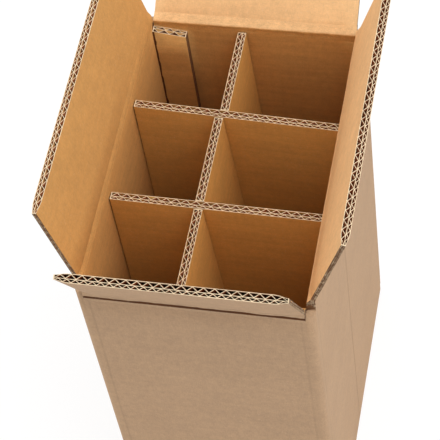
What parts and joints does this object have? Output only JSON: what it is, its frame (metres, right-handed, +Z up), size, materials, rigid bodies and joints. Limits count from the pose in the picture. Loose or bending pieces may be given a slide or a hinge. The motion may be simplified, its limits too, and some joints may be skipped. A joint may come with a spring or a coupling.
{
  "type": "bottle shipping box",
  "caption": "Tall slotted carton of double-wall corrugated board, open at the top, with hinged flaps and an interlocking partition that keeps upright bottles apart.",
  "frame": {"origin": "on the ground under the middle of the carton's walls", "axes": "+Z up through the open top, +X across the short side to the right, +Y along the long side to the back; the front is the short side that faces -Y"},
  "size_m": [0.2308, 0.3831, 0.4842],
  "materials": {
    "carton_kraft": "matt brown kraft liner",
    "divider_kraft": "matt brown kraft liner"
  },
  "bodies": {
    "carton": {"carton": "carton_kraft", "long_divider": "divider_kraft", "front_cross_divider": "divider_kraft", "back_cross_divider": "divider_kraft"},
    "front_flap": {"front_flap": "carton_kraft"},
    "back_flap": {"back_flap": "carton_kraft"},
    "left_flap": {"left_flap": "carton_kraft"},
    "right_flap": {"right_flap": "carton_kraft"}
  },
  "joints": [
    {"name": "front_flap_fold", "type": "hinge", "parent": "carton", "child": "front_flap", "pos_m": [0, -0.1336, 0.39], "axis": [1, 0, 0], "range_deg": [-116, 94]},
    {"name": "right_flap_fold", "type": "hinge", "parent": "carton", "child": "right_flap", "pos_m": [0.0886, 0, 0.3972], "axis": [0, 1, 0], "range_deg": [-109, 101]},
    {"name": "back_flap_fold", "type": "hinge", "parent": "carton", "child": "back_flap", "pos_m": [0, 0.1336, 0.39], "axis": [-1, 0, 0], "range_deg": [-145, 65]},
    {"name": "left_flap_fold", "type": "hinge", "parent": "carton", "child": "left_flap", "pos_m": [-0.0886, 0, 0.3972], "axis": [0, -1, 0], "range_deg": [-102, 108]}
  ]
}
